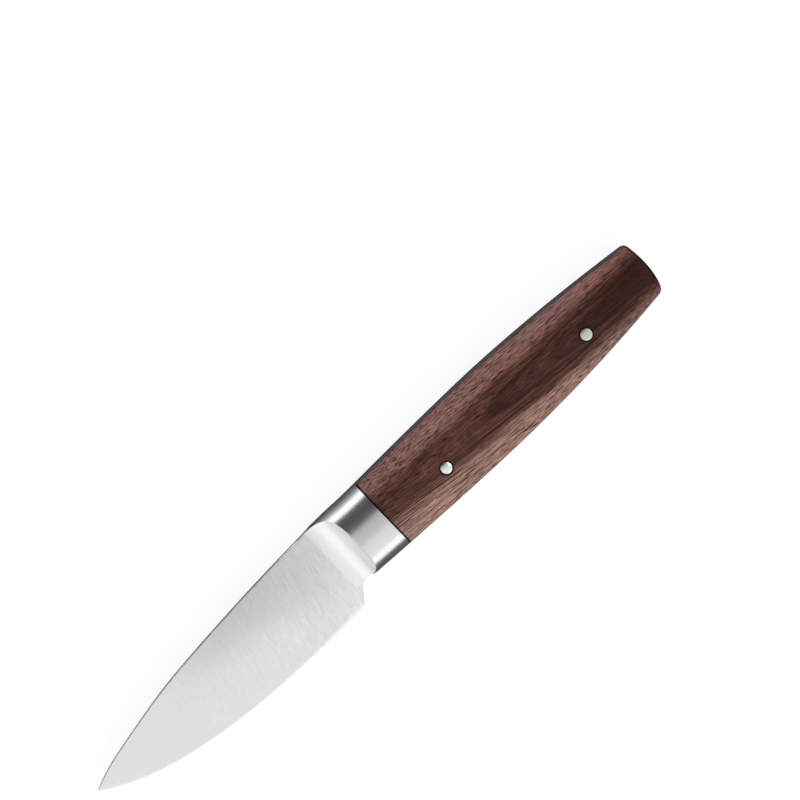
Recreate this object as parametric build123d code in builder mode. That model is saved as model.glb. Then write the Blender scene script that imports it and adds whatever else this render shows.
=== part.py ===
from build123d import *
from math import radians, sqrt, tan
import os

# A paring knife lying on its right cheek, as it is put down on a board.
# Sizes are in millimetres and angles in degrees.
# +X runs from the point to the butt, +Y from the cutting edge to the spine, +Z up.
# The origin is on the surface that it lies on, under the middle of its length and height.

# The whole knife
overall_length = 198.0
overall_height = 26.4
cheek_thickness = 16.0

# Grip: bolster, tang and scales, ground together to one outer form
handle_length = 94.5
grip_height = 23.15
crest_place_share = 0.4
front_top_drop = 0.56
front_bottom_rise = 1.05
butt_top_drop = 4.1
butt_bottom_rise = 3.6
front_bottom_power = 1.5
butt_top_power = 1.75
butt_bottom_power = 2.1
crown_height = 0.14
widest_place_share = 0.45
butt_side_inset = 0.6
section_fullness_share = 0.62
butt_radius = 30.0
butt_crest_height = 3.5
butt_edge_radius = 1.8
crest_station = 7
first_station = -4
last_station = 18

# Bolster: a collar forged in one with the blade and the tang
bolster_side_length = 9.9
ramp_radius = 9.0
nose_place_share = -0.13
nose_top_drop = 0.47
nose_fall = 0.87
nose_side_inset = 0.45

# Blade: both flanks are ground flat, from the spine to the edge and from heel to point
spine_thickness = 1.85
heel_edge_thickness = 0.44
point_thickness = 0.53
point_height = 0.55
spine_seat_drop = 0.06
spine_edge_radius = 0.2
spine_place_shares = (0.07, 0.18, 0.34, 0.55, 0.78)
spine_height_shares = (0.203, 0.395, 0.623, 0.798, 0.923)
belly_place_shares = (0.062, 0.186, 0.371, 0.595, 0.8)
belly_depth_shares = (0.228, 0.549, 0.811, 0.963, 1)
heel_depth_share = 0.971
heel_to_bolster_back = 19.8
hone_angle = 17.0
edge_flat = 0.03

# Choil: the notch between the heel and the bolster
choil_rise = 5.26
choil_angle = 53.0
choil_radius = 3.0
choil_ceiling = 2.7
choil_exit_angle = 22.0
choil_exit_radius = 2.0

# Tang, scales and pins
tang_thickness = 3.0
scale_joint = 0.15
pin_diameter = 3.2
pin_clearance = 0.02
pin_height = 0.55
front_pin_from_bolster = 20.3
pin_spacing = 50.2
pin_edge_break = 0.15
pin_set_down = 0.02

# One overrun serves every cut
overrun = 3.0

# Datums worked out from the sizes above
point_x = -overall_length / 2
butt_x = overall_length / 2
bolster_back_x = butt_x - handle_length
heel_x = bolster_back_x - heel_to_bolster_back
top_y = overall_height / 2
edge_y = -overall_height / 2
mid_z = cheek_thickness / 2
mid_plane = Plane.XY.offset(mid_z)
station_step_share = crest_place_share / crest_station
nose_side = mid_z - nose_side_inset
heel_y = point_height + (edge_y - point_height) * heel_depth_share
pin_xs = (
    bolster_back_x + front_pin_from_bolster,
    bolster_back_x + front_pin_from_bolster + pin_spacing,
)


def handle_share(x):
    """How far X lies behind the bolster, as a share of the handle's length."""
    return (x - bolster_back_x) / handle_length


def grip_top(share):
    """Height of the grip's top line, at a share of the handle's length behind the bolster."""
    if share < nose_place_share:
        return top_y - nose_top_drop - nose_fall * (share / nose_place_share - 1) ** 2
    if share < crest_place_share:
        front_share = (crest_place_share - share) / crest_place_share
        drop = front_top_drop * front_share**2
        nose_share = max(0, share / nose_place_share)
        ease_share = nose_share**2 * (3 - 2 * nose_share)
        return top_y - drop - (nose_top_drop - drop) * ease_share
    rear_share = (share - crest_place_share) / (1 - crest_place_share)
    return top_y - butt_top_drop * rear_share**butt_top_power


def grip_bottom(share):
    """Height of the grip's lower line, at a share of the handle's length behind the bolster."""
    lowest_y = top_y - grip_height
    if share < crest_place_share:
        front_share = (crest_place_share - share) / crest_place_share
        return lowest_y + front_bottom_rise * front_share**front_bottom_power
    rear_share = (share - crest_place_share) / (1 - crest_place_share)
    return lowest_y + butt_bottom_rise * rear_share**butt_bottom_power


def grip_side(share):
    """Half of the grip's thickness before the cheeks are ground flat."""
    if share < 0:
        return mid_z - nose_side_inset * (share / nose_place_share) ** 2
    if share < widest_place_share:
        front_share = (widest_place_share - share) / widest_place_share
        return mid_z + crown_height - crown_height * front_share**2
    rear_share = (share - widest_place_share) / (1 - widest_place_share)
    return mid_z + crown_height - butt_side_inset * rear_share**2


def grip_section(x, top, bottom, side):
    """A rounded section across the grip, as four curves that meet square at the crests."""
    middle = (top + bottom) / 2
    reach = (top - middle) * section_fullness_share
    swell = side * section_fullness_share
    with BuildSketch(Plane.YZ.offset(x)) as section:
        with BuildLine():
            for way in (1, -1):
                Bezier(
                    (top, mid_z),
                    (top, mid_z + way * swell),
                    (middle + reach, mid_z + way * side),
                    (middle, mid_z + way * side),
                )
                Bezier(
                    (middle, mid_z + way * side),
                    (middle - reach, mid_z + way * side),
                    (bottom, mid_z + way * swell),
                    (bottom, mid_z),
                )
        make_face()
    return section.sketch


# The grip's outer form, in close stations from ahead of the bolster to beyond the butt
with BuildPart() as grip_form:
    for station in range(first_station, last_station + 1):
        share = station * station_step_share
        x = bolster_back_x + share * handle_length
        add(grip_section(x, grip_top(share), grip_bottom(share), grip_side(share)))
    loft(ruled=True)
    # The butt is a shallow arc, crowned a little above the grip's middle
    with BuildSketch(mid_plane):
        with Locations((butt_x - butt_radius, butt_crest_height)):
            Rectangle(
                butt_radius + handle_length,
                overall_height + overall_height,
                align=(Align.MIN, Align.CENTER),
            )
            Circle(butt_radius, mode=Mode.SUBTRACT)
    extrude(amount=cheek_thickness, both=True, mode=Mode.SUBTRACT)
    fillet(faces().sort_by(Axis.X)[-1].edges(), radius=butt_edge_radius)

# Blade plate: its outline, then the two flanks ground as planes through three named corners
ramp_run = sqrt(ramp_radius**2 - (ramp_radius + spine_thickness / 2 - nose_side) ** 2)
ramp_x = bolster_back_x - bolster_side_length - ramp_run
seat_y = grip_top(handle_share(ramp_x)) - spine_seat_drop
heel_spine = Vector(heel_x, seat_y, mid_z + spine_thickness / 2)
heel_edge = Vector(heel_x, edge_y, mid_z + heel_edge_thickness / 2)
point_corner = Vector(point_x, point_height, mid_z + point_thickness / 2)
flank_normal = (heel_spine - heel_edge).cross(point_corner - heel_edge).normalized()
flank = Plane(origin=heel_edge, z_dir=flank_normal)
ceiling_y = heel_y + choil_rise
lean_x = heel_x + choil_rise / tan(radians(choil_angle))
exit_x = lean_x + choil_ceiling
blade_length = heel_x - point_x
spine_rise = seat_y - point_height
belly_fall = point_height - edge_y
spine_points = [
    (point_x + place * (ramp_x - point_x), point_height + height * spine_rise)
    for place, height in zip(spine_place_shares, spine_height_shares)
]
belly_points = [
    (point_x + place * blade_length, point_height - depth * belly_fall)
    for place, depth in zip(belly_place_shares, belly_depth_shares)
]
with BuildPart() as blade_plate:
    with BuildSketch(mid_plane.offset(-spine_thickness)):
        with BuildLine():
            spine_line = Spline(
                (point_x, point_height),
                *spine_points,
                (ramp_x, seat_y),
            )
            belly_line = Spline((point_x, point_height), *belly_points, (heel_x, heel_y))
            Polyline(
                belly_line @ 1,
                (exit_x, heel_y),
                (exit_x, seat_y),
                spine_line @ 1,
            )
        make_face()
    extrude(amount=2 * spine_thickness)
    split(bisect_by=flank, keep=Keep.BOTTOM)
    lower_flank = Plane(
        origin=(heel_edge.X, heel_edge.Y, cheek_thickness - heel_edge.Z),
        z_dir=(flank_normal.X, flank_normal.Y, -flank_normal.Z),
    )
    split(bisect_by=lower_flank, keep=Keep.BOTTOM)
    spine_edges = edges().filter_by(GeomType.BSPLINE).filter_by(lambda e: (e @ 0.5).Y > point_height)
    fillet(spine_edges, radius=spine_edge_radius)

# Hone: what the stone takes off both sides along the cutting edge, all but a hair's width of flat
with BuildPart() as hone_cut:
    with BuildLine(mid_plane) as cutting_edge:
        Spline((point_x, point_height), *belly_points, (heel_x, heel_y))
    edge_way = cutting_edge.line % 0
    hone_plane = Plane(
        origin=cutting_edge.line @ 0,
        x_dir=(-edge_way.Y, edge_way.X, 0),
        z_dir=edge_way,
    )
    flat_reach = edge_flat / 2 / tan(radians(hone_angle))
    hone_top = (overrun + flat_reach) * tan(radians(hone_angle))
    with BuildSketch(hone_plane):
        Polygon(
            (-flat_reach, 0),
            (overrun, hone_top),
            (overrun, spine_thickness),
            (-overrun, spine_thickness),
            (-overrun, -spine_thickness),
            (overrun, -spine_thickness),
            (overrun, -hone_top),
            align=None,
        )
    sweep(path=cutting_edge.line)

# Bolster: the grip's form, hollowed in front by a wheel that runs out along each flank
with BuildPart() as bolster:
    add(grip_form)
    with Locations(((ramp_x + bolster_back_x) / 2, 0, mid_z)):
        Box(
            bolster_back_x - ramp_x,
            overall_height + overrun,
            cheek_thickness + overrun,
            mode=Mode.INTERSECT,
        )
    flank_z = heel_edge.Z - (
        flank_normal.X * (ramp_x - heel_edge.X) + flank_normal.Y * (0 - heel_edge.Y)
    ) / flank_normal.Z
    wheel_centre = Vector(ramp_x, 0, flank_z - mid_z) + flank_normal * ramp_radius
    wheel_axis = Vector(1, 0, 0).cross(flank_normal)
    for way in (1, -1):
        wheel_plane = Plane(
            origin=(wheel_centre.X, 0, mid_z + way * wheel_centre.Z),
            z_dir=(wheel_axis.X, wheel_axis.Y, way * wheel_axis.Z),
        )
        with BuildSketch(wheel_plane):
            Circle(ramp_radius)
        extrude(amount=overall_height, both=True, mode=Mode.SUBTRACT)

# Blade and tang: one forging from the point to the butt
floor_y = edge_y - overrun
with BuildPart() as blade_and_tang:
    add(grip_form)
    with Locations((bolster_back_x, 0, mid_z)):
        Box(
            handle_length + overrun,
            overall_height + overrun,
            tang_thickness,
            align=(Align.MIN, Align.CENTER, Align.CENTER),
            mode=Mode.INTERSECT,
        )
    add(bolster)
    add(blade_plate)
    add(hone_cut, mode=Mode.SUBTRACT)
    with BuildSketch(mid_plane):
        with BuildLine():
            notch = FilletPolyline(
                (heel_x - (heel_y - floor_y) / tan(radians(choil_angle)), floor_y),
                (lean_x, ceiling_y),
                (exit_x, ceiling_y),
                (exit_x + (ceiling_y - floor_y) / tan(radians(choil_exit_angle)), floor_y),
                radius=(choil_radius, choil_exit_radius),
            )
            Line(notch @ 0, notch @ 1)
        make_face()
    extrude(amount=cheek_thickness, both=True, mode=Mode.SUBTRACT)
    for pin_x in pin_xs:
        with Locations((pin_x, pin_height, mid_z)):
            Cylinder(pin_diameter / 2 + pin_clearance, tang_thickness + overrun, mode=Mode.SUBTRACT)
    blade_and_tang.part.label = "blade_and_tang"

# Scales: two slabs of walnut, bedded on the tang and butted against the bolster
with BuildPart() as left_scale:
    add(grip_form)
    with Locations((bolster_back_x + scale_joint, 0, mid_z + tang_thickness / 2)):
        Box(
            handle_length + overrun,
            overall_height + overrun,
            cheek_thickness,
            align=(Align.MIN, Align.CENTER, Align.MIN),
            mode=Mode.INTERSECT,
        )
    with Locations(mid_plane.offset(cheek_thickness / 2)):
        Box(
            overall_length + overrun,
            overall_height + overrun,
            cheek_thickness,
            align=(Align.CENTER, Align.CENTER, Align.MIN),
            mode=Mode.SUBTRACT,
        )
    for pin_x in pin_xs:
        with Locations((pin_x, pin_height, mid_z)):
            Cylinder(pin_diameter / 2 + pin_clearance, cheek_thickness + overrun, mode=Mode.SUBTRACT)
left_scale.part.label = "left_scale"
with BuildPart() as right_scale:
    add(left_scale)
    mirror(about=mid_plane, mode=Mode.REPLACE)
right_scale.part.label = "right_scale"


def cheek_height(x):
    """Height of the cheek above the mid-plane, at X along the handle."""
    return min(grip_side(handle_share(x)), cheek_thickness / 2)


def through_pin(x):
    """A steel pin through both scales and the tang, ground flush, the rims of its ends broken."""
    with BuildPart(Plane(origin=(x, pin_height, mid_z))) as pin:
        Cylinder(pin_diameter / 2, 2 * (cheek_height(x) - pin_set_down))
        chamfer(edges().filter_by(GeomType.CIRCLE), length=pin_edge_break)
    return pin.part


front_pin = through_pin(pin_xs[0])
front_pin.label = "front_pin"
rear_pin = through_pin(pin_xs[1])
rear_pin.label = "rear_pin"

os.makedirs("parts", exist_ok=True)
export_step(blade_and_tang.part, "parts/blade_and_tang.step")
export_step(left_scale.part, "parts/left_scale.step")
export_step(right_scale.part, "parts/right_scale.step")
export_step(front_pin, "parts/front_pin.step")
export_step(rear_pin, "parts/rear_pin.step")
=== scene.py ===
import bpy
import bmesh
import math
import numpy as np
from mathutils import Matrix, Vector


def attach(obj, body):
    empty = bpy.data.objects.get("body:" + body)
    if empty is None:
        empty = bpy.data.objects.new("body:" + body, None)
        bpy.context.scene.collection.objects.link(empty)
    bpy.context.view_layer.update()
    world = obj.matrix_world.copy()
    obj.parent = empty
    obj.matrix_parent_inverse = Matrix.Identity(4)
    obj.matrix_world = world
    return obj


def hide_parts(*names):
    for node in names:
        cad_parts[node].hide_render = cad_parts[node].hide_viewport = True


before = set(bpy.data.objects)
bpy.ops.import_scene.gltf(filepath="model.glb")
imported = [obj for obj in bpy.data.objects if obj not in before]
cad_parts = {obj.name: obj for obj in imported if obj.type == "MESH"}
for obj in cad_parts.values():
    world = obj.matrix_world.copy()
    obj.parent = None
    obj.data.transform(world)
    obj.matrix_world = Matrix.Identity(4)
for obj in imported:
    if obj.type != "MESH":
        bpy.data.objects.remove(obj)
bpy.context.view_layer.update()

# LEFT SCALE
# A slab of walnut, bonded and pinned to the tang, ground to the grip's round form on a belt, then oiled.
# It is the side that faces the camera: a dark heart with a pale lower edge and open, dash-like pores.

# sizes are in millimetres, as in the CAD, and turn into metres where a mesh or a node takes them
metre = 1000.0
joint_x, tang_middle_z = 4.65, 8.0
butt_centre, butt_radius = (69.0, 3.5), 30.0
pin_middle, pin_spacing, pin_height, pin_radius = 49.9, 50.2, 0.55, 1.6
# the board's figure: how its grain bows and wanders, and how wide and long its arches are
bow_slope, bow_curve, heart_height = 0.05, -0.00024, 4.4
slow_warp, quick_warp = 5.0, 1.0
arch_half_width, arch_length, arch_span, year_lines_per_mm = 3.35, 20.0, 200.0, 0.22
# pale wood at the board's side, a first dark arch, red-brown wood, a second and darker arch, and the heart
board_tones = [
    (0.0, "#735450"),
    (0.25, "#694940"),
    (0.55, "#442a23"),
    (0.595, "#51332a"),
    (0.695, "#4c2f27"),
    (0.715, "#311b13"),
    (0.78, "#422721"),
    (0.925, "#2d1812"),
]
pale_wood, rusty_wood, pore_brown = "#917165", "#7c443a", "#26110c"
# broad streaks, fibres and a fine speckle: their size along, across and into the grain, and their tones
fibre_layers = (
    ((38, 1.3, 1.3), 0.86, 1.15),
    ((24, 0.25, 0.25), 0.55, 1.5),
    ((2.0, 0.2, 0.2), 0.6, 1.4),
)
fibre_turn, long_pore_turn, rust_turn = -4.0, -5.0, -2.0
# what makes a Mix node mix colours, whose result is its third output
colours = {"data_type": "RGBA", "output": 2}


def linear(code):
    """An sRGB hex colour as the linear values that a shader socket takes."""
    parts = [int(code[i : i + 2], 16) / 255 for i in (1, 3, 5)]
    return [c / 12.92 if c <= 0.04045 else ((c + 0.055) / 1.055) ** 2.4 for c in parts] + [1]


def add(tree, kind, inputs=None, output=0, stops=(), **settings):
    """Adds one node and gives one of its outputs.

    An input takes another node's output, a value or a hex colour. A colour ramp's stops are pairs of a
    place and a hex colour, or a number for a grey.
    """
    made = tree.nodes.new("ShaderNode" + kind)
    for name, value in settings.items():
        setattr(made, name, value)
    for name, value in (inputs or {}).items():
        if isinstance(value, bpy.types.NodeSocket):
            tree.links.new(value, made.inputs[name])
        else:
            made.inputs[name].default_value = linear(value) if isinstance(value, str) else value
    # a new ramp has two stops already
    for i, (place, tone) in enumerate(stops):
        stop = made.color_ramp.elements[i] if i < 2 else made.color_ramp.elements.new(place)
        stop.position = place
        stop.color = linear(tone) if isinstance(tone, str) else (tone, tone, tone, 1)
    return made.outputs[output]


def blank(name):
    """A new material with only its output, and that output's surface socket."""
    made = bpy.data.materials.new(name)
    made.use_nodes = True
    made.node_tree.nodes.clear()
    return made, made.node_tree, made.node_tree.nodes.new("ShaderNodeOutputMaterial").inputs["Surface"]


def streaks(tree, place, size, detail=2.0, turn=0.0, shift=(0, 0, 0), rough=0.5):
    """Noise whose spots are so many millimetres long on each axis, turned in degrees about Z."""
    spots = {
        "Vector": place,
        "Location": [v / metre for v in shift],
        "Rotation": (0, 0, math.radians(turn)),
        "Scale": [v / metre for v in size],
    }
    mapped = add(tree, "Mapping", spots, vector_type="TEXTURE")
    look = {"Vector": mapped, "Scale": 1.0, "Detail": detail, "Roughness": rough}
    return add(tree, "TexNoise", look, "Fac")


def walnut(name, shift, offset=0.0):
    """Belt-ground, oiled walnut. It gives the eye a soft sheen over dark arches, fine fibres and open pores.

    The shift and the offset move the figure, as the two scales come from different parts of a board.
    """
    made, tree, surface = blank(name)
    place = add(tree, "TexCoord", output="Object")
    axes = add(tree, "SeparateXYZ", {"Vector": place}).node.outputs
    along = add(tree, "Math", {0: axes["X"], 1: metre}, operation="MULTIPLY")
    high = add(tree, "Math", {0: axes["Y"], 1: metre}, operation="MULTIPLY")
    # the grain falls towards the edge behind the bolster and runs straight near the butt
    bow = add(tree, "Math", {0: along, 1: bow_curve, 2: bow_slope}, operation="MULTIPLY_ADD")
    bow = add(tree, "Math", {0: bow, 1: along}, operation="MULTIPLY")
    across = add(tree, "Math", {0: high, 1: bow}, operation="ADD")
    across = add(tree, "Math", {0: across, 1: offset - heart_height}, operation="ADD")
    scaled = add(tree, "Math", {0: across, 1: 1 / metre}, operation="MULTIPLY")
    grain = add(tree, "CombineXYZ", {"X": axes["X"], "Y": scaled, "Z": axes["Z"]})
    # a slow and a quick warp, so that no line of the figure runs ruler-straight
    slow = streaks(tree, grain, (34, 9, 9), shift=shift)
    quick = streaks(tree, grain, (9, 1.6, 1.6), shift=shift)
    bent = add(tree, "Math", {0: across, 1: (slow_warp + quick_warp) / 2}, operation="SUBTRACT")
    bent = add(tree, "Math", {0: slow, 1: slow_warp, 2: bent}, operation="MULTIPLY_ADD")
    bent = add(tree, "Math", {0: quick, 1: quick_warp, 2: bent}, operation="MULTIPLY_ADD")
    # cathedral figure of a flat-sawn board: nested arches whose tips point at the bolster
    swell = add(tree, "Math", {0: bent}, operation="ABSOLUTE")
    swell = add(tree, "Math", {0: swell, 1: arch_half_width}, operation="DIVIDE")
    swell = add(tree, "Math", {0: swell, 1: 3.0}, operation="POWER")
    arch = add(tree, "Math", {0: swell, 1: -arch_length, 2: along}, operation="MULTIPLY_ADD")
    heart = add(tree, "Math", {0: arch, 1: 1 / arch_span, 2: 0.5}, operation="MULTIPLY_ADD", use_clamp=True)
    tone = add(tree, "ValToRGB", {"Fac": heart}, stops=board_tones)
    # the lower edge of the board is paler, the more so towards the bolster
    low = add(tree, "Math", {0: along, 1: 0.078, 2: high}, operation="MULTIPLY_ADD")
    low = add(tree, "Math", {0: quick, 1: 1.2, 2: low}, operation="MULTIPLY_ADD")
    low = add(tree, "Math", {0: low, 1: -1 / 4.5, 2: 0.48}, operation="MULTIPLY_ADD", use_clamp=True)
    tone = add(tree, "Mix", {0: low, 6: tone, 7: pale_wood}, **colours)
    # rusty streaks run along its back
    rust = streaks(tree, grain, (40, 0.8, 0.8), turn=rust_turn, shift=shift)
    rust = add(tree, "ValToRGB", {"Fac": rust}, stops=[(0.48, 0.0), (0.66, 0.38)])
    back = add(tree, "Math", {0: bent, 1: 0.5, 2: -2.0}, operation="MULTIPLY_ADD", use_clamp=True)
    rust = add(tree, "Math", {0: rust, 1: back}, operation="MULTIPLY")
    tone = add(tree, "Mix", {0: rust, 6: tone, 7: rusty_wood}, **colours)
    # year lines follow the arches
    year = add(tree, "Math", {0: arch, 1: year_lines_per_mm}, operation="MULTIPLY")
    year = add(tree, "TexNoise", {"W": year, "Scale": 1.0, "Detail": 3.0}, "Fac", noise_dimensions="1D")
    year = add(tree, "ValToRGB", {"Fac": year}, stops=[(0.35, 0.82), (0.65, 1.16)])
    tone = add(tree, "Mix", {0: 1.0, 6: tone, 7: year}, blend_type="MULTIPLY", **colours)
    # streaks, fibres and speckle darken and lighten it in turn
    for size, low_tone, high_tone in fibre_layers:
        fibre = streaks(tree, grain, size, 2.0, fibre_turn, shift, 0.6)
        shade = add(tree, "ValToRGB", {"Fac": fibre}, stops=[(0.3, low_tone), (0.7, high_tone)])
        tone = add(tree, "Mix", {0: 1.0, 6: tone, 7: shade}, blend_type="MULTIPLY", **colours)
    # open pores: short dark dashes everywhere, and long dark lines in the lower half
    short = streaks(tree, grain, (2.8, 0.2, 0.2), 0.0, fibre_turn, shift)
    short = add(tree, "ValToRGB", {"Fac": short}, stops=[(0.6, 0.0), (0.64, 1.0)])
    long = streaks(tree, grain, (32.0, 0.26, 0.26), 0.0, long_pore_turn, shift)
    long = add(tree, "ValToRGB", {"Fac": long}, stops=[(0.585, 0.0), (0.615, 1.0)])
    under = add(tree, "Math", {0: high, 1: -0.3, 2: 0.9}, operation="MULTIPLY_ADD", use_clamp=True)
    fewer = add(tree, "Math", {0: under, 1: -0.6, 2: 1.0}, operation="MULTIPLY_ADD")
    short = add(tree, "Math", {0: short, 1: fewer}, operation="MULTIPLY")
    long = add(tree, "Math", {0: long, 1: under}, operation="MULTIPLY")
    pores = add(tree, "Math", {0: short, 1: long}, operation="MAXIMUM")
    filled = add(tree, "Math", {0: pores, 1: 0.85}, operation="MULTIPLY")
    tone = add(tree, "Mix", {0: filled, 6: tone, 7: pore_brown}, **colours)
    # the adhesive stains the wood along the bolster and round the pins, and this dark band is also painted
    # shade in the joint and the pin holes
    from_pin = add(tree, "Math", {0: along, 1: pin_middle}, operation="SUBTRACT")
    from_pin = add(tree, "Math", {0: from_pin}, operation="ABSOLUTE")
    from_pin = add(tree, "Math", {0: from_pin, 1: pin_spacing / 2}, operation="SUBTRACT")
    aside = add(tree, "Math", {0: high, 1: pin_height}, operation="SUBTRACT")
    aside = add(tree, "Math", {0: aside, 1: 2.0}, operation="POWER")
    from_pin = add(tree, "Math", {0: from_pin, 1: from_pin, 2: aside}, operation="MULTIPLY_ADD")
    from_pin = add(tree, "Math", {0: from_pin}, operation="SQRT")
    from_pin = add(tree, "Math", {0: from_pin, 1: pin_radius}, operation="SUBTRACT")
    joint = add(tree, "Math", {0: along, 1: joint_x}, operation="SUBTRACT")
    joint = add(tree, "Math", {0: from_pin, 1: joint}, operation="MINIMUM")
    joint = add(tree, "Math", {0: joint, 1: 1.2}, operation="MULTIPLY")
    stain_and_shade = add(tree, "ValToRGB", {"Fac": joint}, stops=[(0.25, 0.12), (0.75, 1.0)])
    tone = add(tree, "Mix", {0: 1.0, 6: tone, 7: stain_and_shade}, blend_type="MULTIPLY", **colours)
    # and along the tang, where the darker band is painted shade in the joint as well as the adhesive's stain
    deep = add(tree, "Math", {0: axes["Z"], 1: metre, 2: -tang_middle_z}, operation="MULTIPLY_ADD")
    deep = add(tree, "Math", {0: deep}, operation="ABSOLUTE")
    deep = add(tree, "Math", {0: deep, 1: 0.5, 2: -0.75}, operation="MULTIPLY_ADD")
    stain_and_shade = add(tree, "ValToRGB", {"Fac": deep}, stops=[(0.05, 0.35), (0.6, 1.0)])
    tone = add(tree, "Mix", {0: 1.0, 6: tone, 7: stain_and_shade}, blend_type="MULTIPLY", **colours)
    # the end grain of the butt drinks more oil and is darker, and the darker band along the butt's rounded
    # rim is painted shade
    behind = add(tree, "Math", {0: along, 1: butt_centre[0]}, operation="SUBTRACT")
    behind = add(tree, "Math", {0: behind, 1: 0.0}, operation="MAXIMUM")
    aside = add(tree, "Math", {0: high, 1: butt_centre[1]}, operation="SUBTRACT")
    aside = add(tree, "Math", {0: aside, 1: 2.0}, operation="POWER")
    radius = add(tree, "Math", {0: behind, 1: behind, 2: aside}, operation="MULTIPLY_ADD")
    radius = add(tree, "Math", {0: radius}, operation="SQRT")
    skin = add(tree, "Math", {0: butt_radius, 1: radius}, operation="SUBTRACT")
    stain_and_shade = add(tree, "ValToRGB", {"Fac": skin}, stops=[(0.2, 0.4), (0.7, 1.0)])
    tone = add(tree, "Mix", {0: 1.0, 6: tone, 7: stain_and_shade}, blend_type="MULTIPLY", **colours)
    # the speckle stands up a little, and the pores are pits in it
    dents = add(tree, "Math", {0: pores, 1: -0.7, 2: fibre}, operation="MULTIPLY_ADD")
    bump = add(tree, "Bump", {"Height": dents, "Strength": 0.35, "Distance": 0.06 / metre})
    gloss = add(tree, "ValToRGB", {"Fac": fibre}, stops=[(0.3, 0.42), (0.7, 0.56)])
    oiled = {"Base Color": tone, "Roughness": gloss, "Specular IOR Level": 0.08, "Normal": bump}
    tree.links.new(add(tree, "BsdfPrincipled", oiled), surface)
    return made


def smooth_copy(name, source):
    """A merged copy of a CAD node, shaded smooth but for edges sharper than 30 degrees."""
    made = bpy.data.objects.new(name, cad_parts[source].data.copy())
    bpy.context.scene.collection.objects.link(made)
    shape = bmesh.new()
    shape.from_mesh(made.data)
    bmesh.ops.remove_doubles(shape, verts=shape.verts, dist=2e-6)
    bmesh.ops.dissolve_degenerate(shape, edges=shape.edges, dist=1e-7)
    shape.to_mesh(made.data)
    shape.free()
    made.data.materials.clear()
    made.data.shade_smooth()
    made.data.set_sharp_from_angle(angle=math.radians(30))
    return made


left_scale = smooth_copy("walnut_left_scale", "left_scale")
left_scale.data.materials.append(walnut("oiled walnut, left", (0, 0, 0)))
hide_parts("left_scale")
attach(left_scale, "root")

# RIGHT SCALE
# The same slab in mirror image, on the side that lies on the board: cut from the next inch of the plank,
# bonded and pinned to the tang's other cheek, and ground and oiled together with the left one.
next_inch, heart_offset = (137, 41, 9), 1.2

right_scale = smooth_copy("walnut_right_scale", "right_scale")
right_scale.data.materials.append(walnut("oiled walnut, right", next_inch, heart_offset))
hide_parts("right_scale")
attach(right_scale, "root")

# FORGING
# Blade, bolster and full tang in one piece of stainless steel: forged, ground flat on both flanks across
# the blade, hollowed by a wheel in front of the bolster, and satin-polished around the bolster.
point_x, heel_x, bolster_x, back_x, butt_x = -99.0, -15.3, -5.4, 4.5, 99.0
top_y, seat_y, point_y, edge_y, middle_z = 13.2, 12.4415, 0.55, -13.2, tang_middle_z
wheel_x, wheel_radius = -14.081, 9.0
# half of the blade's thickness at the heel's spine, at the heel's edge and at the point
heel_spine_half, heel_edge_half, point_half = 0.925, 0.22, 0.265
# how far the grip's back, lower line and cheeks depart from a plain bar, and where along it
handle_length, grip_height = butt_x - back_x, 23.15
crest_share, widest_share, nose_share = 0.4, 0.45, -0.13
front_dip, collar_dip, nose_dip, butt_dip, butt_dip_power = 0.56, 0.47, 0.87, 4.1, 1.75
front_lift, front_lift_power, butt_lift, butt_lift_power = 1.05, 1.5, 3.6, 2.1
cheek_swell, butt_thinning, nose_thinning, roundness = 0.14, 0.6, 0.45, 0.62
# widths of the strips that the blade's faces are cut into, and narrower ones from before the hollow on
blade_slice, blade_row, strips_x, collar_slice, collar_row = 4.0, 2.0, -23.0, 0.5, 0.8
# a corner belongs to a surface that is as near as this, in millimetres or as a share of the grip's size,
flank_near, wheel_near, joint_near, arc_near, grip_near, rim_near = 0.02, 0.05, 0.05, 0.004, 0.01, 0.0008
# and whose direction agrees with its triangle's as well as this, as a cosine
flank_level, wheel_level, grip_level = 0.9985, 0.94, 0.95
# a triangle leans to an axis, faces along it or is square to it from these cosines on
lean_level, face_level, square_level = 0.8, 0.9, 0.99
# how far the flanks' direction leans, in degrees: at the point, at the spine and before the hollow
point_lean, spine_lean, heel_ease, hollow_lean = -3.5, 9.5, 2.5, -5.5
# and where along X these leans grow, and where the spine's eased corners become square
spine_region, heel_region = (-75, -35), (-42, -18)
hollow_region, square_region = (strips_x, -14.2), (-14, -11.5)
# where the blade's spine ends and the butt's rim begins, how much and over what width the spine's corners
# are eased, and how far the butt's directions may tilt to a side
spine_end_x, rim_x, corner_ease, corner_width, butt_tilt = -11, 90, 0.65, 0.25, 0.1


def grip_lines(x):
    """The grip's top line, lower line and half thickness at X, in millimetres."""
    share = (x - back_x) / handle_length
    front = np.clip((crest_share - share) / crest_share, 0, None)
    rear = np.clip((share - crest_share) / (1 - crest_share), 0, None)
    nose = np.clip(share / nose_share, 0, 1)
    ease = nose**2 * (3 - 2 * nose)
    drop = front_dip * front**2
    top = top_y - drop - (collar_dip - drop) * ease - butt_dip * rear**butt_dip_power
    nose_top = top_y - collar_dip - nose_dip * (share / nose_share - 1) ** 2
    top = np.where(share < nose_share, nose_top, top)
    bottom = top_y - grip_height + front_lift * front**front_lift_power + butt_lift * rear**butt_lift_power
    widest_front = np.clip((widest_share - share) / widest_share, 0, None)
    widest_rear = np.clip((share - widest_share) / (1 - widest_share), 0, None)
    side = middle_z + cheek_swell - cheek_swell * widest_front**2 - butt_thinning * widest_rear**2
    side = np.where(share < 0, middle_z - nose_thinning * (share / nose_share) ** 2, side)
    return top, bottom, side


# a quarter of the grip's section: a direction out of its middle, and how far out the surface is there
curve = np.linspace(0, 1, 400)
outward = (1 - curve) ** 3 + 3 * curve * (1 - curve) ** 2 + 3 * roundness * curve**2 * (1 - curve)
turn_table = np.arctan2(outward[::-1], outward)
size_table = np.hypot(outward, outward[::-1])


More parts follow.
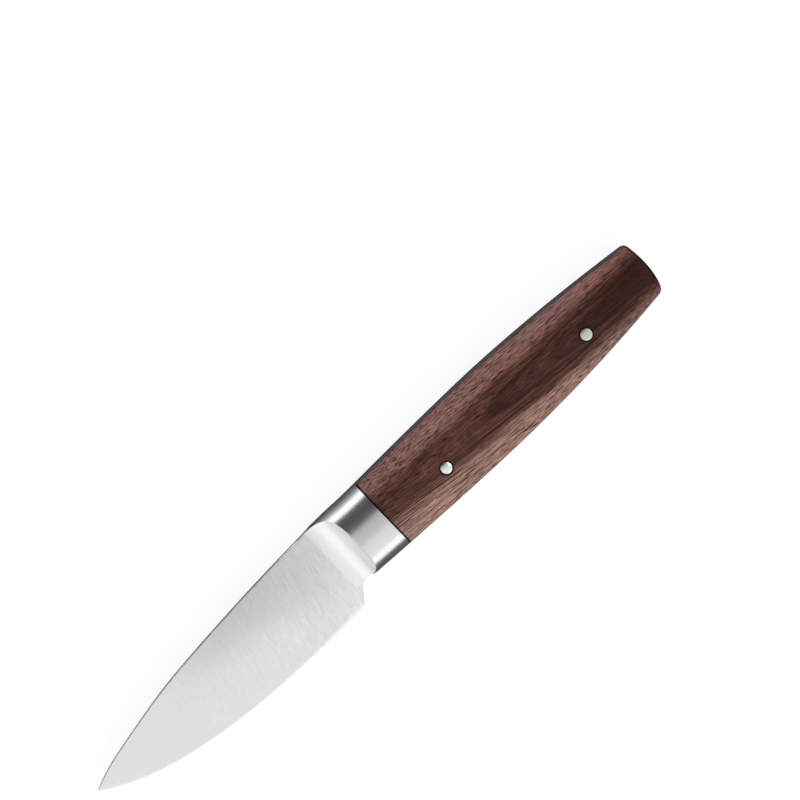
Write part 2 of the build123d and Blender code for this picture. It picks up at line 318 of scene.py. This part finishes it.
def grip_measure(points):
    """1 on the grip's surface, less inside it and more outside it."""
    top, bottom, side = grip_lines(points[:, 0])
    half = (top - bottom) / 2
    high = np.abs(points[:, 1] - (top + bottom) / 2) / half
    deep = np.abs(points[:, 2] - middle_z) / side
    return np.hypot(high, deep) / np.interp(np.arctan2(deep, high), turn_table, size_table)


def grip_normal(points, step=0.01):
    """The way out of the grip's surface, from how its measure grows over a small step."""
    slope = [grip_measure(points + step * axis) - grip_measure(points - step * axis) for axis in np.eye(3)]
    slope = np.stack(slope, 1)
    return slope / np.linalg.norm(slope, axis=1)[:, None]


def slice_mesh(made, axis, places, behind=-math.inf, ahead=math.inf):
    """Cuts the faces that lie from behind to ahead along X, at places on an axis, all in millimetres."""
    shape = bmesh.new()
    shape.from_mesh(made.data)
    way = Vector([float(i == axis) for i in range(3)])
    for place in places:
        faces = [f for f in shape.faces if behind < f.calc_center_median().x * metre < ahead]
        around = set(faces) | {e for f in faces for e in f.edges} | {v for f in faces for v in f.verts}
        plane = way * place / metre
        bmesh.ops.bisect_plane(shape, geom=list(around), plane_co=plane, plane_no=way, dist=1e-7)
    bmesh.ops.triangulate(shape, faces=shape.faces)
    shape.to_mesh(made.data)
    shape.free()


def smooth_step(value, low, high):
    """0 up to low, 1 from high on, and an S-curve between them."""
    part = np.clip((value - low) / (high - low), 0, 1)
    return part * part * (3 - 2 * part)


forging = smooth_copy("forged_blade_and_tang", "blade_and_tang")
slice_mesh(forging, 0, np.arange(point_x + 2, strips_x, blade_slice))
slice_mesh(forging, 0, np.arange(strips_x, back_x - 0.1, collar_slice))
slice_mesh(forging, 1, np.arange(edge_y + 1, top_y, blade_row), ahead=strips_x + 0.1)
slice_mesh(forging, 1, np.arange(edge_y + 1, top_y, collar_row), strips_x + 0.1, back_x)

# the flanks' and the wheel's own directions, from the blade's corners
heel_spine = np.array([heel_x, seat_y, middle_z + heel_spine_half])
heel_edge = np.array([heel_x, edge_y, middle_z + heel_edge_half])
point_corner = np.array([point_x, point_y, middle_z + point_half])
flank = np.cross(heel_spine - heel_edge, point_corner - heel_edge)
flank /= np.linalg.norm(flank)
wheel_axis = np.cross([1, 0, 0], flank)
wheel_axis /= np.linalg.norm(wheel_axis)
seat_z = heel_edge[2] - (flank[0] * (wheel_x - heel_x) - flank[1] * edge_y) / flank[2]
wheel_centre = np.array([wheel_x, 0, seat_z]) + flank * wheel_radius

# for each corner of each triangle: its place, its smooth direction and its triangle's direction
mesh = forging.data
mesh.shade_smooth()
mesh.set_sharp_from_angle(angle=math.radians(25))
vertices = np.array([v.co for v in mesh.vertices]) * metre
at = vertices[np.array([l.vertex_index for l in mesh.loops])]
turned = np.array([n.vector for n in mesh.corner_normals])
flat = np.array([p.normal for p in mesh.polygons])[np.repeat(np.arange(len(mesh.polygons)), 3)]
# the right side is worked out as the left side's mirror image
lifted = at.copy()
lifted[:, 2] = middle_z + np.abs(at[:, 2] - middle_z)
flip = np.where(flat[:, 2] < 0, -1.0, 1.0)

# flanks: a hand-ground face is a hair convex, and leans into the wheel's hollow before it begins
on_flank = np.abs(flat[:, 2]) > flank_level
on_flank &= np.abs((lifted - heel_edge) @ flank) < flank_near
heelward = smooth_step(at[:, 0], *spine_region)
near_heel = smooth_step(at[:, 0], *heel_region)
# towards the spine, from lower down the nearer the heel
spineward = smooth_step(at[:, 1], -4 - 10 * near_heel, 12)
lean_y = np.sin(np.radians(point_lean + (spine_lean - heel_ease * near_heel) * heelward * spineward))
lean_x = np.sin(np.radians(hollow_lean) * smooth_step(at[:, 0], *hollow_region))
facing = np.stack([flank[0] + lean_x, flank[1] + lean_y, np.full(len(at), flank[2])], 1)
facing[:, 2] *= flip
turned[on_flank] = facing[on_flank]

# hollow: the wheel's own cylinder, which takes the flanks' lean over and loses it in 3 mm
arm = lifted - wheel_centre
arm -= np.outer(arm @ wheel_axis, wheel_axis)
arm_length = np.linalg.norm(arm, axis=1)
hollow = -arm / arm_length[:, None]
left_over = 1 - smooth_step(at[:, 0], wheel_x, wheel_x + 3)
hollow[:, 0] += lean_x * left_over
hollow[:, 1] += lean_y * left_over
hollow[:, 2] *= flip
on_wheel = (np.abs(arm_length - wheel_radius) < wheel_near) & ~on_flank
on_wheel &= (at[:, 0] > wheel_x - 0.01) & (at[:, 0] < back_x) & ((hollow * flat).sum(1) > wheel_level)
turned[on_wheel] = hollow[on_wheel]

# bolster and tang edges: the grip's round form
rounded = grip_normal(at)
off_grip = np.abs(grip_measure(at) - 1)
on_grip = (off_grip < grip_near) & ((rounded * flat).sum(1) > grip_level) & ~on_wheel & ~on_flank
turned[on_grip] = rounded[on_grip]

# butt: a shallow arc, that the rounded rim meets without a crease
from_centre = at - [butt_centre[0], butt_centre[1], 0]
from_centre[:, 2] = 0
on_butt = (at[:, 0] > rim_x) & ~on_grip & (np.abs(flat[:, 2]) < face_level)
on_arc = on_butt & (np.abs(np.linalg.norm(from_centre, axis=1) - butt_radius) < arc_near)
turned[on_arc] = from_centre[on_arc]
on_rim = on_butt & ~on_arc & (off_grip < rim_near)
turned[on_rim] = rounded[on_rim]
turned[on_butt, 2] = np.clip(turned[on_butt, 2], -butt_tilt, butt_tilt)

# spine of the blade: its corners are eased, and square again where it meets the bolster
on_spine = (flat[:, 1] > face_level) & (at[:, 0] < spine_end_x)
eased = corner_ease * (1 - smooth_step(at[:, 0], *square_region))
turned[on_spine, 2] = (eased * np.clip((at[:, 2] - middle_z) / corner_width, -1, 1))[on_spine]

# honed edge: each facet keeps its own direction, with a crisp line to the flank
on_hone = (np.abs(flat[:, 2]) > face_level) & (at[:, 0] < heel_x + 0.1) & (at[:, 1] < point_y) & ~on_flank
turned[on_hone] = flat[on_hone]
turned /= np.linalg.norm(turned, axis=1)[:, None]
mesh.normals_split_custom_set([tuple(n) for n in turned])


def steel(name, dark, light, rough, size, turn=0.0, bite=0.06, fade=None):
    """Ground steel: brush lines of a size in two tones, as deep as bite, that can fade in along X.

    The broad lines are moved aside, so that they don't fall on the fine ones.
    """
    made, tree, surface = blank(name)
    place = add(tree, "TexCoord", output="Object")
    fine = streaks(tree, place, size, 3.0, turn, rough=0.6)
    broad = streaks(tree, place, [4 * v for v in size], 1.0, turn, (7, 3, 1))
    lines = add(tree, "Math", {0: fine, 1: 0.8}, operation="MULTIPLY")
    lines = add(tree, "Math", {0: broad, 1: 0.2, 2: lines}, operation="MULTIPLY_ADD")
    if fade:
        start, end = fade
        along = add(tree, "SeparateXYZ", {"Vector": place}, "X")
        share = add(
            tree,
            "Math",
            {0: along, 1: metre / (end - start), 2: start / (start - end)},
            operation="MULTIPLY_ADD",
            use_clamp=True,
        )
        share = add(tree, "Math", {0: share, 1: 0.75, 2: 0.25}, operation="MULTIPLY_ADD")
        lines = add(tree, "Math", {0: lines, 1: 0.5}, operation="SUBTRACT")
        lines = add(tree, "Math", {0: lines, 1: share, 2: 0.5}, operation="MULTIPLY_ADD")
    tone = add(tree, "ValToRGB", {"Fac": lines}, stops=[(0.35, dark), (0.65, light)])
    matt = add(tree, "ValToRGB", {"Fac": lines}, stops=[(0.35, rough + bite), (0.65, rough - bite)])
    bump = add(tree, "Bump", {"Height": fine, "Strength": bite, "Distance": 0.01 / metre})
    ground = {"Base Color": tone, "Metallic": 1.0, "Roughness": matt, "Normal": bump}
    tree.links.new(add(tree, "BsdfPrincipled", ground), surface)
    return made


# sizes of the brush lines along X, Y and Z, drawn coarser than the real ones, so that they show
blade_lines, bolster_lines = (2.6, 0.22, 0.22), (0.2, 8, 8)
hollow_lines, rim_lines = (0.16, 5, 5), (9, 0.5, 0.12)
# the blade: a soft, even grey with lines across it, that are faint at the point and clear at the heel
blade_steel = steel(
    "satin-ground blade steel", "#d0d0ce", "#e2e2e0", 0.3, blade_lines, turn=77, bite=0.022, fade=(-75, -25)
)
# the bolster: smoother, so that bright and dark bands follow its round form, with softly brushed ends
collar_steel = steel("satin-polished bolster steel", "#c9c9c9", "#cecece", 0.26, bolster_lines, bite=0.018)
# the hollow: the wheel leaves it matt, so that it is a pale sheen without a sharp reflection
hollow_steel = steel("wheel-ground hollow steel", "#e2e2e1", "#e7e7e6", 0.34, hollow_lines, bite=0.03)
# the spine and the tang's rim: a slate-grey line with scratches along it, ground together with the walnut
edge_steel = steel("belt-ground spine steel", "#a6a7ab", "#b2b3b7", 0.28, rim_lines, bite=0.03)
# the bolster's back and the tang's cheeks: bedded in adhesive, which is a thin dark line at the joints
hidden_steel = steel("adhesive-stained steel", "#0c0a0a", "#1a1716", 0.6, (0.6, 0.6, 0.6))
blade_place, collar_place, hollow_place, hidden_place, edge_place = range(5)
for finish in (blade_steel, collar_steel, hollow_steel, hidden_steel, edge_steel):
    mesh.materials.append(finish)
polished = (on_grip | (at[:, 0] > bolster_x)) & ~on_wheel & ~on_flank
which = np.where(on_wheel, hollow_place, np.where(polished, collar_place, blade_place))
which = which.reshape(-1, 3).min(1)
behind_joint = at[:, 0] > back_x - 0.01
narrow = (np.abs(flat[:, 2]) < lean_level) & ((at[:, 0] < strips_x) | behind_joint)
which[narrow.reshape(-1, 3).all(1)] = edge_place
bedded = (flat[:, 0] > square_level) & (np.abs(at[:, 0] - back_x) < joint_near)
bedded |= (np.abs(flat[:, 2]) > square_level) & behind_joint
which[bedded.reshape(-1, 3).all(1)] = hidden_place
mesh.polygons.foreach_set("material_index", which.astype(np.int32))
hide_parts("blade_and_tang")
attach(forging, "root")

# PINS
# Two rods of stainless steel through the tang and both scales, ground flush with the walnut and buffed,
# which leaves their ends a little domed. The front one is domed more.

# each pin's name, its place along the knife, and how far its end's dome and its lean turn the light
front_x, rear_x = pin_middle - pin_spacing / 2, pin_middle + pin_spacing / 2
pins = (("front_pin", front_x, 0.26, -0.1), ("rear_pin", rear_x, 0.1, 0.06))
# small bright dots to the eye, with faint scratches from the buff
pin_steel = steel("buffed pin steel", "#cdcdca", "#dadad7", 0.22, (1.2, 0.1, 0.1), turn=20, bite=0.04)
for source, pin_x, dome, lean in pins:
    pin = smooth_copy("steel_" + source, source)
    corners = np.array([pin.data.vertices[l.vertex_index].co for l in pin.data.loops]) * metre
    corners -= [pin_x, pin_height, middle_z]
    corner_counts = np.array([p.loop_total for p in pin.data.polygons])
    facets = np.repeat(np.array([p.normal for p in pin.data.polygons]), corner_counts, axis=0)
    from_axis = np.maximum(np.hypot(corners[:, 0], corners[:, 1]), 0.01)
    steep = np.hypot(facets[:, 0], facets[:, 1]) / from_axis
    ways = np.stack([corners[:, 0] * steep, corners[:, 1] * steep, facets[:, 2]], 1)
    end = np.abs(facets[:, 2]) > 0.3
    domed = [corners[end, 0] * dome, corners[end, 1] * dome + lean, np.sign(facets[end, 2])]
    ways[end] = np.stack(domed, 1)
    ways /= np.linalg.norm(ways, axis=1)[:, None]
    pin.data.normals_split_custom_set([tuple(n) for n in ways])
    pin.data.materials.append(pin_steel)
    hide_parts(source)
    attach(pin, "root")

# STUDIO
# A sweep of white paper under soft lamp panels. The camera sees a tenth of the knife's shadow on it, and
# the steel mirrors it darker near the knife, where the knife shades it.
floor_reach, shadow_share = 3.0, 0.1

floor_mesh = bpy.data.meshes.new("floor")
floor_corners = [(x * floor_reach, y * floor_reach, 0) for x, y in ((-1, -1), (1, -1), (1, 1), (-1, 1))]
floor_mesh.from_pydata(floor_corners, [], [(0, 1, 2, 3)])
floor = bpy.data.objects.new("floor", floor_mesh)
bpy.context.scene.collection.objects.link(floor)
# matt white paper: plain to the eye, with a soft grey only where the knife shades it
paper, tree, surface = blank("white studio paper")
ray = add(tree, "LightPath").node.outputs
pale = add(tree, "BsdfDiffuse", {"Color": "#fdfdfd"})
# painted shadow: the mirrored paper is grey as far as 15 mm beyond the knife's middle, and pale from 81 mm
# on
sideways = add(tree, "SeparateXYZ", {"Vector": add(tree, "TexCoord", output="Object")}, "Y")
sideways = add(tree, "Math", {0: sideways, 1: 8.0}, operation="MULTIPLY")
shaded = add(tree, "ValToRGB", {"Fac": sideways}, stops=[(0.12, "#5c5c5c"), (0.65, "#f0f0f0")])
mirrored = add(tree, "BsdfDiffuse", {"Color": shaded})
white = add(tree, "Emission", {"Color": "#ffffff"})
lit = add(tree, "MixShader", {0: ray["Is Glossy Ray"], 1: pale, 2: mirrored})
seen_share = add(tree, "Math", {0: ray["Is Camera Ray"], 1: 1 - shadow_share}, operation="MULTIPLY")
tree.links.new(add(tree, "MixShader", {0: seen_share, 1: lit, 2: white}), surface)
floor_mesh.materials.append(paper)


def panel(name, way, span, distance, length, brightness, toward="y"):
    """A soft lamp panel, way degrees from overhead towards +Y (or +X), span degrees wide, in metres."""
    lamp = bpy.data.lights.new(name, "AREA")
    lamp.shape = "RECTANGLE"
    width = 2 * distance * math.tan(math.radians(span / 2))
    lamp.size = length
    lamp.size_y = width
    lamp.energy = brightness * math.pi * length * width
    made = bpy.data.objects.new(name, lamp)
    bpy.context.scene.collection.objects.link(made)
    turn = math.radians(way)
    aside, height = distance * math.sin(turn), distance * math.cos(turn)
    if toward == "y":
        made.location = (0, aside, height)
        made.rotation_euler = (-turn, 0, 0)
    else:
        made.location = (aside, 0, height)
        made.rotation_euler = (-turn, 0, math.radians(-90))
    made.visible_camera = False


# the panels along the knife give the bolster its bands, and those across it shade the blade from its point
# to its heel
panel("strip_behind_the_spine", way=82, span=41, distance=0.8, length=1.8, brightness=1.8)
panel("strip_before_the_edge", way=-70, span=25, distance=0.8, length=0.6, brightness=1.7)
panel("overhead_near", way=-7, span=26, distance=1.0, length=2.2, brightness=0.7)
panel("overhead_far", way=-39.5, span=39, distance=1.0, length=2.2, brightness=1.1)
panel("panel_ahead_of_the_point", way=-73, span=48, distance=0.9, length=1.0, brightness=1.26, toward="x")
panel("panel_over_the_point", way=-28, span=32, distance=0.95, length=1.0, brightness=0.14, toward="x")
panel("panel_behind_the_butt", way=52, span=40, distance=0.9, length=1.0, brightness=1.2, toward="x")

# the room: it lights the knife softly, is white to the camera, and nearly black in the steel
room_light, room_seen, room_mirrored = 0.5, 1.0, 0.085
world = bpy.data.worlds.new("studio")
bpy.context.scene.world = world
world.use_nodes = True
world.node_tree.nodes.clear()
room = world.node_tree
room_ray = add(room, "LightPath").node.outputs
plain = add(room, "Background", {"Color": "#ffffff", "Strength": room_light})
seen = add(room, "Background", {"Color": "#ffffff", "Strength": room_seen})
dim = add(room, "Background", {"Color": "#ffffff", "Strength": room_mirrored})
around = add(room, "MixShader", {0: room_ray["Is Glossy Ray"], 1: plain, 2: dim})
around = add(room, "MixShader", {0: room_ray["Is Camera Ray"], 1: around, 2: seen})
room.links.new(around, room.nodes.new("ShaderNodeOutputWorld").inputs["Surface"])

# CAMERA
# A long lens, 13 degrees off straight down towards the spine, turned so that the knife runs up to the
# right, and with a picture 208 mm wide. The view is plain, without a film look.
tilt, slope = math.radians(13), math.radians(43.6577954)
frame_width, lens, sensor = 0.208, 400.0, 36
distance = frame_width * lens / sensor
aim = Vector((0.02826, 0.02039, 0.00793))
backward = Vector((0, math.sin(tilt), math.cos(tilt)))
over_spine = Vector((0, math.cos(tilt), -math.sin(tilt)))
right = Vector((math.cos(slope), 0, 0)) - math.sin(slope) * over_spine
up = Vector((math.sin(slope), 0, 0)) + math.cos(slope) * over_spine
lens_data = bpy.data.cameras.new("camera")
lens_data.lens = lens
lens_data.sensor_width = sensor
lens_data.clip_end = 20
camera = bpy.data.objects.new("camera", lens_data)
bpy.context.scene.collection.objects.link(camera)
stance = Matrix((right, up, backward)).transposed().to_4x4()
camera.matrix_world = Matrix.Translation(aim + backward * distance) @ stance
bpy.context.scene.camera = camera
bpy.context.scene.view_settings.view_transform = "Standard"
